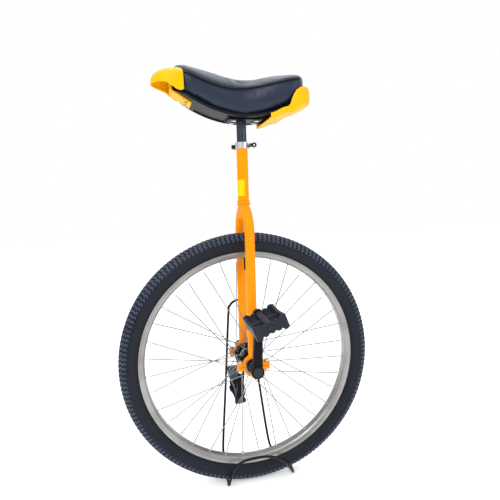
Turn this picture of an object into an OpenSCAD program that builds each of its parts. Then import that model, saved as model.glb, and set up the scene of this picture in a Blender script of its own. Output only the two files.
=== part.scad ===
// Unicycle with a spoked wheel, cotterless cranks, an adjustable saddle and a bent-rod parking stand.
// Millimetres. The origin is on the floor under the hub, +Z is up, the saddle's nose points along -X
// and the rider's left side is -Y.

/* [Wheel] */
// Radius over the tread
wheel_r = 300; // [250:0.5:340]
// Width of the tyre
tyre_w = 47; // [40:0.5:54]
// Height of the tyre above the rim's edge
tyre_h = 43.5; // [34:0.5:48]
// Width of the rim over its side walls
rim_w = 28; // [24:0.5:34]
// Radial depth of the rim
rim_depth = 14.5; // [13:0.5:26]
// Number of spokes, a multiple of four
spoke_count = 36; // [20:4:48]
// Diameter of a spoke
spoke_d = 2; // [1.6:0.1:2.4]
// Length of the valve below the rim
valve_l = 29; // [20:1:36]

/* [Hub] */
// Distance between the middles of the two flanges
flange_gap = 56; // [44:1:64]
// Radius of the ring of spoke holes in a flange
flange_hole_r = 24; // [20:0.5:32]
// Radius of the hub's barrel
barrel_r = 13.5; // [12:0.5:16]
// Diameter of the axle where the bearings sit
axle_d = 17; // [15:0.5:20]
// Distance between the middles of the two bearings
bearing_span = 108; // [96:1:124]
// Outer diameter of a bearing
bearing_d = 40; // [35:0.5:47]
// Width of a bearing
bearing_w = 12; // [10:0.5:14]
// Number of balls in a bearing
ball_count = 8; // [6:1:9]

/* [Cranks and pedals] */
// Distance from the axle to the pedal's spindle
crank_l = 127; // [102:1:165]
// Distance between the outer faces of the crank bosses
crank_span = 200; // [196:1:230]
// Radius of a crank's boss
boss_r = 14.5; // [13:0.5:18]
// Diameter of a pedal's spindle
spindle_d = 10; // [8:0.5:11]
// Size of a pedal along its spindle
pedal_w = 97; // [76:1:112]
// Size of a pedal across its spindle
pedal_l = 70; // [58:1:92]
// Thickness of a pedal
pedal_t = 29; // [22:1:34]
// How far the cranks are turned from upright, the left one backwards
crank_turn = 2.5; // [-30:0.5:30]
// How far the left pedal is turned from level
pedal_turn_left = -21; // [-90:1:90]
// How far the right pedal is turned from level
pedal_turn_right = 84; // [-180:1:180]

/* [Frame] */
// Outer diameter of the seat tube
neck_d = 25.4; // [25:0.1:34]
// Outer diameter of a fork leg
leg_d = 22.2; // [19:0.1:25.4]
// Height of the seat tube's foot above the tyre
crown_gap = 32; // [8:1:50]
// Length of the seat tube
neck_l = 171; // [150:1:250]
// Radius of the bend at the top of a fork leg
leg_bend = 62; // [56:1:80]
// Wall of the fork's tubes
tube_wall = 2.4; // [1.6:0.1:3]

/* [Seat] */
// Outer diameter of the seat post
post_d = 22.2; // [20:0.1:25.4]
// Length of post between the clamp and the saddle's plate
post_show = 49; // [36:1:110]
// Length of post inside the seat tube
post_inside = 136; // [90:1:150]
// Length of the padded part of the saddle
saddle_l = 296; // [250:1:340]
// Greatest width of the saddle
saddle_w = 142; // [120:1:170]
// Height of the padding over the pan at the saddle's lowest point
saddle_h = 75; // [66:1:100]

/* [Stand] */
// Diameter of the stand's rod
rod_d = 6; // [5:0.5:10]
// Distance between the stand's two feet
stand_w = 162; // [150:1:190]
// Height of the low bow on the left side
bow_h = 75; // [60:1:90]
// Height of the tall bow on the right side
tall_bow_h = 430; // [400:1:450]

/* [Hidden] */
$fn = 48;
eps = 0.01;         // overlap that lets a cut pass through a face
seat_gap = 0.02;    // radial gap of pieces that are pressed together
run_gap = 0.05;     // radial gap of pieces that turn or slide on each other
skin_gap = 0.3;     // gap between soft pieces and what they lie on
left = -1;          // sides of the unicycle, as the sign of Y
right = 1;

// wheel
tyre_lift = 1;                              // the stand holds the tyre this far off the floor
hub_z = wheel_r + tyre_lift;
tyre_r = tyre_w / 2;
tyre_mid_r = wheel_r - tyre_r;
tyre_wall = 3.5;
rim_edge_r = wheel_r - tyre_h;
rim_in_r = rim_edge_r - rim_depth;
rim_floor_r = rim_edge_r - 6;
rim_wall = 1.6;
rim_bed = 2.2;
tape_t = 0.6;
bead_w = 3.2;
bead_in = rim_w / 2 - rim_wall - 0.2 - bead_w;
tube_wall_t = 1.2;
valve_r = 3.85;
nipple_r = 2;
nipple_l = 15;
nipple_head_r = 3;
nipple_head_l = 2.5;
spoke_step = 360 / spoke_count;
cross_angle = 6 * spoke_step;

// hub, bearings and axle
flange_t = 3;
flange_r = flange_hole_r + 4;
axle_r = axle_d / 2;
square_w = axle_d * 0.76;
boss_w = 20;
crank_in = crank_span / 2 - boss_w;
square_end = crank_in + 10.5;
counter_r = boss_r - 3.5;
counter_at = crank_in + 11;
crank_bolt_r = 4;
bearing_r = bearing_d / 2;
ball_ring_r = (bearing_r + axle_r) / 2;
ball_r = (bearing_r - axle_r) * 0.29;
shield_t = 0.8;

// cranks and pedals
arm_w = 17;
arm_t = 13;
arm_out = crank_span / 2 - 1;
eye_r = 12;
thread_r = 7;
pedal_in = crank_span / 2 + 5;
pedal_out = pedal_in + pedal_w;
pedal_wall = 6;
barrel_out_r = 9.6;
bush_r = spindle_d / 2 + 2.6;
bush_l = 14;

// frame
neck_r = neck_d / 2;
leg_r = leg_d / 2;
neck_foot = hub_z + wheel_r + crown_gap;
neck_top = neck_foot + neck_l;
bend_z = neck_foot - leg_bend * 0.55;
ring_z = bend_z + leg_bend + leg_r - 7;
ring_h = 8;
ring_r = neck_r + 1.6;
leg_y = bearing_span / 2;
holder_w = bearing_w + 2;
holder_r = bearing_r + 4.5;
ear_x = holder_r + 12;
ear_t = 8;
cap_bolt_x = holder_r + 6.5;
cap_bolt_r = 3;
split = 1.2;
post_r = post_d / 2;

// clamp
clamp_h = 14;
clamp_z = neck_top + 2 - clamp_h;
clamp_r = neck_r + 2.4;
ear_w = 8;
slit = 2.4;
skewer_y = neck_r + 9.5;
skewer_r = 2.5;
reach = skewer_y + neck_r + 6;              // length of the lever with its eye
eye_hole_r = 2.4;
cam_x = max(slit / 2 + ear_w + 7, clamp_r + 1.1);

// saddle; its height goes with the post
post_top = neck_top + post_show;
plate_t = 3;
pan_t = 6;
deck_t = 3;
pad_low = post_top + plate_t + 4;
pan_low = pad_low - pan_t;
nut_top = pad_low - 0.2;
low_x = 8;                                  // where the top of the saddle is lowest
edge_x = low_x - 23;                        // where its piping is lowest
front_x = low_x - saddle_l * 0.545;
back_x = front_x + saddle_l;
plate_x = 6;
bolt_dx = 26;
bolt_dy = 15;
ring_steps = 36;                            // points round one slice of the padding
slices = 40;                                // slices along the padding

// stand
rod_r = rod_d / 2;
foot_front = 20 - stand_w / 2;
foot_back = foot_front + stand_w;
tall_y = (leg_y + leg_r + crank_in) / 2;

// round bar from one point to another
module bar(a, b, r) {
    d = b - a;
    translate(a) rotate([0, acos(d[2] / norm(d)), atan2(d[1], d[0])]) cylinder(h = norm(d), r = r);
}

// smooth curve through the points p, each span in m steps
function span(a, b, c, d, u) = (2 * b + (c - a) * u + (2 * a - 5 * b + 4 * c - d) * u * u
    + (3 * b - a - 3 * c + d) * u * u * u) / 2;
function smooth(p, m) = concat([for (i = [0 : len(p) - 2]) for (j = [0 : m - 1])
    span(p[max(i - 1, 0)], p[i], p[i + 1], p[min(i + 2, len(p) - 1)], j / m)], [p[len(p) - 1]]);
function unit(v) = v / norm(v);
function turn_on(n, t) = unit(n - (n * t) * t);

// round bar along the points p; the first point of each ring lies towards up
module sweep(p, r, up, sides) {
    last = len(p) - 1;
    t = [for (k = [0 : last]) unit(p[min(k + 1, last)] - p[max(k - 1, 0)])];
    n = [for (k = 0, v = turn_on(up, t[0]); k <= last; k = k + 1, v = k <= last ? turn_on(v, t[k]) : v) v];
    pts = [for (k = [0 : last]) for (j = [0 : sides - 1]) let (a = 360 * j / sides)
        p[k] + r * (cos(a) * n[k] + sin(a) * cross(t[k], n[k]))];
    side = [for (k = [0 : last - 1]) for (j = [0 : sides - 1]) each let (m = (j + 1) % sides,
        a = k * sides, b = a + sides) [[a + j, b + m, b + j], [a + j, a + m, b + m]]];
    polyhedron(points = pts, faces = concat(side, [[for (j = [sides - 1 : -1 : 0]) j]],
        [[for (j = [0 : sides - 1]) last * sides + j]]));
}

// cylinder along Y from y = a to y = b
module along_y(r, a, b) {
    translate([0, min(a, b), 0]) rotate([-90, 0, 0]) cylinder(h = abs(b - a), r = r);
}

// cylinder along X from x = a to x = b
module along_x(r, a, b) {
    translate([min(a, b), 0, 0]) rotate([0, 90, 0]) cylinder(h = abs(b - a), r = r);
}

module ring_y(r_out, r_in, a, b) {
    difference() {
        along_y(r_out, a, b);
        along_y(r_in, min(a, b) - 1, max(a, b) + 1);
    }
}

// what turns with the wheel, drawn about the axle
module at_hub() {
    translate([0, 0, hub_z]) children();
}

// a section drawn as (radius, offset along the axle) and turned round the axle
module turned() {
    rotate([90, 0, 0]) rotate_extrude($fn = 180) children();
}

/* wheel */

module tyre_section() {
    difference() {
        union() {
            intersection() {
                translate([tyre_mid_r, 0]) circle(r = tyre_r);
                translate([rim_edge_r + skin_gap, -tyre_w]) square([tyre_h, 2 * tyre_w]);
            }
            for (s = [left, right])
                translate([rim_floor_r + tape_t + 0.15, s * (bead_in + bead_w / 2) - bead_w / 2])
                    square([8, bead_w]);
        }
        translate([tyre_mid_r, 0]) circle(r = tyre_r - tyre_wall);
        translate([rim_floor_r, -bead_in]) square([tyre_mid_r - rim_floor_r, 2 * bead_in]);
    }
}

module tyre() {
    color([0.06, 0.07, 0.09]) at_hub() turned() tyre_section();
}

module tube_section(shrink) {
    translate([tyre_mid_r, 0]) circle(r = tyre_r - tyre_wall - skin_gap - shrink);
    translate([rim_floor_r + tape_t + skin_gap + shrink, shrink - bead_in + skin_gap])
        square([10, 2 * (bead_in - skin_gap - shrink)]);
}

module inner_tube() {
    color([0.1, 0.1, 0.1]) at_hub() difference() {
        turned() tube_section(0);
        turned() tube_section(tube_wall_t);
        bar([0, 0, rim_floor_r], [0, 0, rim_floor_r + 5], valve_r + seat_gap);
    }
}

module rim_tape() {
    color([0.5, 0.1, 0.1]) at_hub() difference() {
        turned() translate([rim_floor_r + 0.05, rim_wall + 0.2 - rim_w / 2])
            square([tape_t, rim_w - 2 * rim_wall - 0.4]);
        bar([0, 0, rim_floor_r - 2], [0, 0, rim_floor_r + 5], valve_r + 0.2);
    }
}

module rim_section() {
    difference() {
        polygon([[rim_in_r, -rim_w * 0.3], [rim_in_r + 3, -rim_w * 0.42], [rim_in_r + 9, -rim_w / 2],
            [rim_edge_r, -rim_w / 2], [rim_edge_r, rim_w / 2], [rim_in_r + 9, rim_w / 2],
            [rim_in_r + 3, rim_w * 0.42], [rim_in_r, rim_w * 0.3]]);
        translate([rim_floor_r, rim_wall - rim_w / 2]) square([20, rim_w - 2 * rim_wall]);
        polygon([[rim_in_r + rim_bed, -rim_w * 0.3], [rim_in_r + 5, rim_wall + 1 - rim_w / 2],
            [rim_floor_r - 1.6, rim_wall - rim_w / 2], [rim_floor_r - 1.6, rim_w / 2 - rim_wall],
            [rim_in_r + 5, rim_w / 2 - rim_wall - 1], [rim_in_r + rim_bed, rim_w * 0.3]]);
    }
}

// spoke k: its side, the way it leans, its hole in the flange and its seat in the rim
function spoke_side(k) = k % 2 == 0 ? left : right;
function spoke_lean(k) = floor(k / 2) % 2 == 0 ? 1 : -1;
function spoke_at(k) = spoke_step * (k + 0.5);
function hub_at(k) = spoke_at(k) + spoke_lean(k) * cross_angle;
function spoke_off(k) = spoke_d / 2 + (spoke_lean(k) > 0 ? 0.95 : 0.1);
function bend_y(k) = spoke_side(k) * (flange_gap / 2 + spoke_lean(k) * (flange_t / 2 + spoke_off(k)));
function bend_pt(k) = [flange_hole_r * cos(hub_at(k)), bend_y(k), flange_hole_r * sin(hub_at(k))];
function seat_pt(k) = let (r = rim_in_r + rim_bed + 0.5)
    [r * cos(spoke_at(k)), spoke_side(k) * 2, r * sin(spoke_at(k))];
function spoke_dir(k) = (seat_pt(k) - bend_pt(k)) / norm(seat_pt(k) - bend_pt(k));

module rim() {
    color([0.72, 0.73, 0.75]) at_hub() difference() {
        turned() rim_section();
        for (k = [0 : spoke_count - 1]) {
            bar(seat_pt(k) - 8 * spoke_dir(k), seat_pt(k) + 2 * spoke_dir(k), nipple_r + 0.1);
            rotate([0, -spoke_at(k), 0]) translate([0, spoke_side(k) * 2, 0])
                along_x(4.2, rim_in_r + 6, rim_floor_r + 2);
        }
        bar([0, 0, rim_in_r - 5], [0, 0, rim_edge_r], valve_r + 0.15);
    }
}

module spokes() {
    color([0.6, 0.61, 0.63]) at_hub() for (k = [0 : spoke_count - 1]) {
        inward = [0, -spoke_side(k) * spoke_lean(k), 0];
        bar(bend_pt(k), seat_pt(k) - spoke_dir(k), spoke_d / 2);
        bar(bend_pt(k) - (spoke_d / 2 + 0.06) * inward,
            bend_pt(k) + (flange_t + spoke_off(k) + 1.2) * inward, spoke_d / 2 + 0.04);
        bar(bend_pt(k) + (flange_t + spoke_off(k) + 0.1) * inward,
            bend_pt(k) + (flange_t + spoke_off(k) + 1.5) * inward, spoke_d * 0.9);
    }
}

module nipples() {
    color([0.75, 0.75, 0.77]) at_hub() for (k = [0 : spoke_count - 1]) difference() {
        union() {
            bar(seat_pt(k) - (nipple_l - nipple_head_l) * spoke_dir(k), seat_pt(k) + 0.5 * spoke_dir(k),
                nipple_r);
            bar(seat_pt(k), seat_pt(k) + nipple_head_l * spoke_dir(k), nipple_head_r);
        }
        bar(seat_pt(k) - nipple_l * spoke_dir(k), seat_pt(k) - 0.5 * spoke_dir(k),
            spoke_d / 2 + seat_gap);
    }
}

module valve() {
    color([0.07, 0.07, 0.07]) at_hub() {
        bar([0, 0, rim_in_r - valve_l], [0, 0, rim_floor_r + 4], valve_r);
    }
}

/* hub */

module hub_shell() {
    color([0.82, 0.83, 0.85]) at_hub() difference() {
        union() {
            along_y(barrel_r, -flange_gap / 2 - 5, flange_gap / 2 + 5);
            for (s = [left, right])
                along_y(barrel_r + 1.5, s * (flange_gap / 2 - flange_t / 2 - 2.5),
                    s * (flange_gap / 2 - flange_t / 2));
        }
        along_y(axle_r + seat_gap, -flange_gap, flange_gap);
    }
}

module hub_flanges() {
    color([0.08, 0.08, 0.08]) at_hub() for (s = [left, right]) difference() {
        union() {
            along_y(flange_r, s * (flange_gap / 2 - flange_t / 2), s * (flange_gap / 2 + flange_t / 2));
            along_y(barrel_r + 2, s * (flange_gap / 2), s * (flange_gap / 2 + 5));
        }
        along_y(barrel_r + seat_gap, -flange_gap, flange_gap);
        for (k = [0 : spoke_count - 1]) if (spoke_side(k) == s)
            bar([bend_pt(k)[0], s * (flange_gap / 2 - 3), bend_pt(k)[2]],
                [bend_pt(k)[0], s * (flange_gap / 2 + 3), bend_pt(k)[2]], spoke_d / 2 + 0.15);
    }
}

module square_bar(a, b, grow) {
    intersection() {
        along_y(axle_r + grow, a, b);
        translate([-square_w / 2 - grow, min(a, b), -square_w / 2 - grow])
            cube([square_w + 2 * grow, abs(b - a), square_w + 2 * grow]);
    }
}

module axle() {
    color([0.55, 0.56, 0.58]) at_hub() rotate([0, crank_turn, 0]) difference() {
        union() {
            along_y(axle_r, -crank_in + 6, crank_in - 6);
            for (s = [left, right]) {
                square_bar(s * (crank_in - 7), s * square_end, 0);
                along_y(axle_r + 2, s * (flange_gap / 2 + 6), s * (leg_y - bearing_w / 2));
            }
        }
        for (s = [left, right]) along_y(crank_bolt_r + seat_gap, s * (square_end - 22), s * (square_end + 1));
    }
}

module groove() {
    turned() translate([ball_ring_r, 0]) circle(r = ball_r + run_gap);
}

module bearing_inner(s) {
    color([0.7, 0.7, 0.72]) at_hub() translate([0, s * leg_y, 0]) difference() {
        ring_y(ball_ring_r - ball_r * 0.55, axle_r + seat_gap, -bearing_w / 2, bearing_w / 2);
        groove();
    }
}

module bearing_outer(s) {
    color([0.7, 0.7, 0.72]) at_hub() translate([0, s * leg_y, 0]) difference() {
        ring_y(bearing_r, ball_ring_r + ball_r * 0.55, -bearing_w / 2, bearing_w / 2);
        groove();
    }
}

module bearing_balls() {
    color([0.8, 0.8, 0.82]) at_hub() for (s = [left, right]) for (k = [0 : ball_count - 1])
        rotate([0, k * 360 / ball_count, 0]) translate([ball_ring_r, s * leg_y, 0]) sphere(r = ball_r);
}

module bearing_shields() {
    color([0.1, 0.1, 0.1]) at_hub() for (s = [left, right]) for (e = [-1, 1])
        ring_y(ball_ring_r + ball_r * 0.55 - seat_gap, ball_ring_r - ball_r * 0.55 + 0.25,
            s * leg_y + e * (bearing_w / 2 - shield_t), s * leg_y + e * bearing_w / 2);
}

/* cranks and pedals; the left crank points up and the right one down */

module at_pedal(s) {
    translate([-s * crank_l * sin(crank_turn), 0, hub_z - s * crank_l * cos(crank_turn)]) children();
}

module crank(s) {
    color([0.07, 0.07, 0.08]) at_hub() rotate([0, crank_turn, 0]) difference() {
        union() {
            along_y(boss_r, s * crank_in, s * crank_span / 2);
            rotate([s == left ? 0 : 180, 0, 0]) {
                translate([0, left * (arm_out - arm_t) - arm_t, 0]) rotate([-90, 0, 0])
                    linear_extrude(height = arm_t) polygon([[-arm_w * 0.62, 0], [arm_w * 0.62, 0],
                        [arm_w / 2, -crank_l], [-arm_w / 2, -crank_l]]);
                translate([0, 0, crank_l]) along_y(eye_r, -arm_out, -arm_out + arm_t);
            }
        }
        square_bar(s * (crank_in - 1), s * (crank_span / 2), seat_gap);
        along_y(counter_r, s * counter_at, s * (crank_span / 2 + 1));
        translate([0, 0, -s * crank_l]) along_y(thread_r + seat_gap, s * (crank_in), s * (crank_span / 2 + 1));
    }
}

module crank_bolts() {
    color([0.6, 0.6, 0.62]) at_hub() for (s = [left, right]) {
        along_y(crank_bolt_r, s * (square_end - 20), s * (counter_at + 1));
        along_y(counter_r - 0.6, s * counter_at, s * (counter_at + 1.4));
        translate([0, s * (counter_at + 1.4 + (s == left ? 3.2 : 0)), 0]) rotate([-90, 0, 0])
            cylinder(h = 3.2, r = 7, $fn = 6);
    }
}

module crank_caps() {
    color([0.05, 0.05, 0.05]) at_hub() for (s = [left, right])
        along_y(counter_r - seat_gap, s * (crank_span / 2 - 2.6), s * (crank_span / 2 + 0.6));
}

module pedal_spindle(s) {
    color([0.7, 0.7, 0.72]) at_pedal(s) {
        along_y(thread_r, s * (arm_out - arm_t + 1), s * arm_out);
        along_y(thread_r + 2, s * (arm_out + 0.05), s * (pedal_in - 1.5));
        along_y(thread_r, s * (arm_out - 1), s * (arm_out + 1));
        along_y(spindle_d / 2, s * (pedal_in - 2), s * (pedal_out - 5));
    }
}

module pedal_bushes(s) {
    color([0.85, 0.8, 0.6]) at_pedal(s) {
        ring_y(bush_r, spindle_d / 2 + run_gap, s * (pedal_in + 1), s * (pedal_in + 1 + bush_l));
        ring_y(bush_r, spindle_d / 2 + run_gap, s * (pedal_out - 6 - bush_l), s * (pedal_out - 6));
    }
}

module pedal_cap(s) {
    color([0.1, 0.1, 0.11]) at_pedal(s)
        along_y(bush_r - 0.3, s * (pedal_out - 4), s * (pedal_out + 0.6));
}

// serrated side plate of length l, waisted in the middle
module pedal_plate(l, teeth) {
    pitch = l / teeth;
    top = [for (k = [0 : teeth - 1]) each let (m = abs(k - (teeth - 1) / 2) / ((teeth - 1) / 2),
        h = pedal_t / 2 - 4 * (1 - m * m)) [[pitch * (k + 0.06), h - 2.6], [pitch * (k + 0.3), h],
        [pitch * (k + 0.7), h], [pitch * (k + 0.94), h - 2.6]]];
    low = [for (k = [len(top) - 1 : -1 : 0]) [top[k][0], -top[k][1]]];
    polygon(concat([[0, 0]], top, [[l, 0]], low));
}

module pedal_body(s) {
    turn = s == left ? pedal_turn_left : pedal_turn_right;
    low_y = s == left ? -pedal_out : pedal_in;
    inner = pedal_l / 2 - pedal_wall;
    color([0.06, 0.06, 0.06]) at_pedal(s) rotate([0, turn, 0]) difference() {
        union() {
            for (e = [0, 1]) translate([e * (pedal_l - pedal_wall) - pedal_l / 2, low_y, 0])
                rotate([90, 0, 90]) linear_extrude(height = pedal_wall) pedal_plate(pedal_w, 7);
            for (e = [0, 1])
                translate([-pedal_l / 2, low_y + pedal_wall + e * (pedal_w - pedal_wall), 0])
                    rotate([90, 0, 0]) linear_extrude(height = pedal_wall) pedal_plate(pedal_l, 5);
            along_y(barrel_out_r, s * pedal_in, s * pedal_out);
            translate([-inner - 1, low_y + pedal_w / 2 - 3, -pedal_t * 0.22])
                cube([2 * inner + 2, 6, pedal_t * 0.44]);
        }
        along_y(bush_r + seat_gap, s * (pedal_in - 1), s * (pedal_out + 1));
    }
}

/* frame */

module seat_tube() {
    color([1, 0.6, 0]) difference() {
        translate([0, 0, neck_foot]) cylinder(h = neck_l, r = neck_r);
        translate([0, 0, neck_foot - 1]) cylinder(h = neck_l + 2, r = post_r + run_gap);
        translate([-1, 0, neck_top - 30]) cube([2, neck_d, 40]);
    }
}

module crown_ring() {
    color([1, 0.6, 0]) translate([0, 0, ring_z]) difference() {
        cylinder(h = ring_h, r = ring_r);
        translate([0, 0, -1]) cylinder(h = ring_h + 2, r = neck_r + seat_gap);
    }
}

module fork_leg(s) {
    color([1, 0.6, 0]) difference() {
        union() {
            translate([0, s * leg_y, hub_z + bearing_r]) cylinder(h = bend_z - hub_z - bearing_r, r = leg_r);
            intersection() {
                translate([0, s * (leg_y - leg_bend), bend_z]) rotate([90, 0, s == left ? -90 : 90])
                    rotate_extrude($fn = 96) translate([leg_bend, 0]) circle(r = leg_r);
                translate([-leg_d, s == left ? -leg_y - leg_r : 0, bend_z])
                    cube([2 * leg_d, leg_y + leg_r, leg_bend + leg_d]);
            }
            at_hub() {
                along_y(holder_r, s * (leg_y - holder_w / 2), s * (leg_y + holder_w / 2));
                translate([-ear_x, s * leg_y - holder_w / 2, 0]) cube([2 * ear_x, holder_w, ear_t]);
            }
        }
        translate([-leg_d * 2, s * leg_y - leg_d, hub_z - 2 * holder_r])
            cube([4 * leg_d, 2 * leg_d, 2 * holder_r + split / 2]);
        at_hub() along_y(bearing_r + seat_gap, s * (leg_y - leg_d), s * (leg_y + leg_d));
        translate([0, 0, neck_foot - 20]) cylinder(h = 200, r = neck_r + seat_gap);
        translate([0, 0, ring_z - seat_gap]) cylinder(h = 60, r = ring_r + seat_gap);
        for (e = [-1, 1]) translate([e * cap_bolt_x, s * leg_y, hub_z - 1])
            cylinder(h = ear_t + 2, r = cap_bolt_r + 0.2);
        translate([0, s * leg_y, hub_z + holder_r + 4])
            cylinder(h = bend_z - hub_z - holder_r - 5, r = leg_r - tube_wall);
    }
}

module bearing_cap(s) {
    color([1, 0.6, 0]) difference() {
        union() at_hub() {
            along_y(holder_r, s * (leg_y - holder_w / 2), s * (leg_y + holder_w / 2));
            translate([-ear_x, s * leg_y - holder_w / 2, -ear_t]) cube([2 * ear_x, holder_w, ear_t]);
        }
        translate([-2 * ear_x, s * leg_y - leg_d, hub_z - split / 2])
            cube([4 * ear_x, 2 * leg_d, 2 * holder_r]);
        at_hub() along_y(bearing_r + seat_gap, s * (leg_y - leg_d), s * (leg_y + leg_d));
        for (e = [-1, 1]) translate([e * cap_bolt_x, s * leg_y, hub_z - ear_t - 1])
            cylinder(h = ear_t + 2, r = cap_bolt_r + 0.2);
    }
}

module cap_bolts() {
    color([0.8, 0.8, 0.82]) for (s = [left, right]) for (e = [-1, 1])
        translate([e * cap_bolt_x, s * leg_y, hub_z]) {
            translate([0, 0, -ear_t - 7]) cylinder(h = 2 * ear_t + 8, r = cap_bolt_r);
            translate([0, 0, ear_t]) cylinder(h = 4.5, r = 5.8, $fn = 6);
        }
}

module cap_nuts() {
    color([0.8, 0.8, 0.82]) for (s = [left, right]) for (e = [-1, 1])
        translate([e * cap_bolt_x, s * leg_y, hub_z - ear_t - 5]) difference() {
            cylinder(h = 5, r = 5.8, $fn = 6);
            translate([0, 0, -1]) cylinder(h = 7, r = cap_bolt_r + seat_gap);
        }
}

module frame_label() {
    color([1, 0.85, 0]) intersection() {
        translate([0, 0, neck_foot + 52]) difference() {
            cylinder(h = 37, r = neck_r + 0.25);
            translate([0, 0, -1]) cylinder(h = 39, r = neck_r + seat_gap);
        }
        translate([-neck_d, -neck_d, neck_foot]) cube([neck_d + 1, 2 * neck_d, neck_l]);
    }
}

/* seat clamp: a slit collar, its skewer across the rear of the slit, a cam lever and a nut */

module seat_clamp() {
    color([0.8, 0.81, 0.83]) difference() {
        union() {
            translate([0, 0, clamp_z]) cylinder(h = clamp_h, r = clamp_r);
            translate([-slit / 2 - ear_w, neck_r - 2, clamp_z])
                cube([2 * ear_w + slit, skewer_y - neck_r + 8, clamp_h]);
        }
        translate([0, 0, clamp_z - 1]) cylinder(h = clamp_h - 1, r = neck_r + seat_gap);
        translate([0, 0, clamp_z]) cylinder(h = clamp_h + 1, r = post_r + 0.3);
        translate([-slit / 2, 0, clamp_z - 1]) cube([slit, 2 * neck_d, clamp_h + 2]);
        translate([0, skewer_y, clamp_z + clamp_h / 2]) along_x(skewer_r + 0.1, -20, 20);
    }
}

module at_skewer() {
    translate([0, skewer_y, clamp_z + clamp_h / 2]) children();
}

module clamp_skewer() {
    color([0.7, 0.7, 0.72]) at_skewer() difference() {
        union() {
            along_x(skewer_r, -slit / 2 - ear_w - 9, cam_x);
            translate([cam_x, 0, -2]) cylinder(h = 4, r = 4.6);
        }
        translate([cam_x, 0, -5]) cylinder(h = 10, r = 2);
    }
}

module clamp_nut() {
    color([0.06, 0.06, 0.06]) at_skewer() difference() {
        union() {
            along_x(6.5, -slit / 2 - ear_w - 3, -slit / 2 - ear_w);
            along_x(5, -slit / 2 - ear_w - 10.5, -slit / 2 - ear_w - 2);
        }
        along_x(skewer_r + run_gap, -slit / 2 - ear_w - 9.2, 0);
    }
}

module clamp_lever() {
    color([0.8, 0.81, 0.83]) at_skewer() difference() {
        union() {
            translate([cam_x, 0, -6]) cylinder(h = 12, r = 6.2);
            translate([cam_x, 7 - reach, -4.5]) cube([5, reach - 7, 9]);
        }
        translate([cam_x - 8, -9, -2.7]) cube([15, 16, 5.4]);
    }
    color([0.8, 0.81, 0.83]) at_skewer() translate([cam_x, 0, -5.9]) cylinder(h = 11.8, r = 1.95);
}

// eye at the lever's end, its hole along Y
module lever_eye() {
    color([0.05, 0.05, 0.05]) at_skewer() translate([cam_x + 9.2, 0, 0]) difference() {
        union() {
            along_y(5.4, 2 - reach, 7 - reach);
            translate([-8.6, 2 - reach, -3.6]) cube([6, 5, 7.2]);
        }
        along_y(eye_hole_r, 1 - reach, 8 - reach);
    }
}

/* saddle */

module seat_post() {
    color([0.15, 0.17, 0.2]) translate([0, 0, neck_top - post_inside]) difference() {
        cylinder(h = post_inside + post_show, r = post_r);
        translate([0, 0, -1]) cylinder(h = post_inside + post_show - 3, r = post_r - 2);
    }
}

module post_plug() {
    color([0.05, 0.05, 0.05]) translate([0, 0, neck_top - post_inside]) {
        translate([0, 0, -3]) cylinder(h = 2.95, r = post_r - 0.4);
        translate([0, 0, -1]) cylinder(h = 13, r = post_r - 2 - seat_gap);
    }
}

module seat_plate() {
    color([0.12, 0.12, 0.13]) difference() {
        translate([plate_x - bolt_dx - 12, -bolt_dy - 10, post_top])
            cube([2 * bolt_dx + 24, 2 * bolt_dy + 20, plate_t]);
        for (x = [-1, 1]) for (y = [-1, 1]) translate([plate_x + x * bolt_dx, y * bolt_dy, post_top - 1])
            cylinder(h = plate_t + 2, r = 3.2);
    }
}

// share of the way from the lowest point to the front or the back end
function far_of(x) = x < low_x ? (low_x - x) / (low_x - front_x) : (x - low_x) / (back_x - low_x);
function edge_of(x) = x < edge_x ? (edge_x - x) / (edge_x - front_x) : (x - edge_x) / (back_x - edge_x);
// rise from 0 to 1, flat at first and then nearly straight; k is how early it turns up
function rise(u, k) = (sqrt(1 + pow(k * u, 2)) - 1) / (sqrt(1 + k * k) - 1);
function pad_bottom(x) = pad_low + (x < low_x ? 62 : 41) * pow(far_of(x), 2);
function pad_edge(x) = pad_low + saddle_h * 0.72 + (x < edge_x ? 42 : 25) * rise(edge_of(x), x < edge_x ? 2 : 2.6);
function pad_ridge(x) = pad_low + saddle_h + (x < low_x ? 45 : 23) * rise(far_of(x), x < low_x ? 3.2 : 5.4);
// the top drops at both ends
function end_drop(x) = let (c = 24, d = min(x - front_x, back_x - x)) d < c
    ? sqrt(max(0.14, 1 - pow(1 - d / c, 2.2))) : 1;
function pad_top(x) = pad_edge(x) + (pad_ridge(x) - pad_edge(x)) * end_drop(x);
// half width, waisted in the middle and rounded at both ends
function pad_side(x) = saddle_w * (x < -20 ? 0.36 + 0.012 * pow((-20 - x) / 130, 1.5)
    : 0.36 + 0.14 * pow(sin(min(90, (x + 20) * 0.72)), 2));
function end_round(x) = let (c = 46, d = min(x - front_x, back_x - x)) d < c
    ? sqrt(max(0.12, 1 - pow(1 - d / c, 2.4))) : 1;
function half_w(x) = pad_side(x) * end_round(x);

function slice_x(k) = front_x + saddle_l * (1 - cos(180 * k / slices)) / 2;
function slice_pt(x, a) = let (w = half_w(x), c = cos(a), s = sin(a))
    s > 0 ? [x, w * c, pad_edge(x) + (pad_top(x) - pad_edge(x)) * pow(s, 0.8)]
    : [x, w * sign(c) * pow(abs(c), 0.25) * (1 - 0.06 * s * s),
        pad_edge(x) + (pad_edge(x) - pad_bottom(x)) * sign(s) * pow(abs(s), 0.45)];

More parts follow.
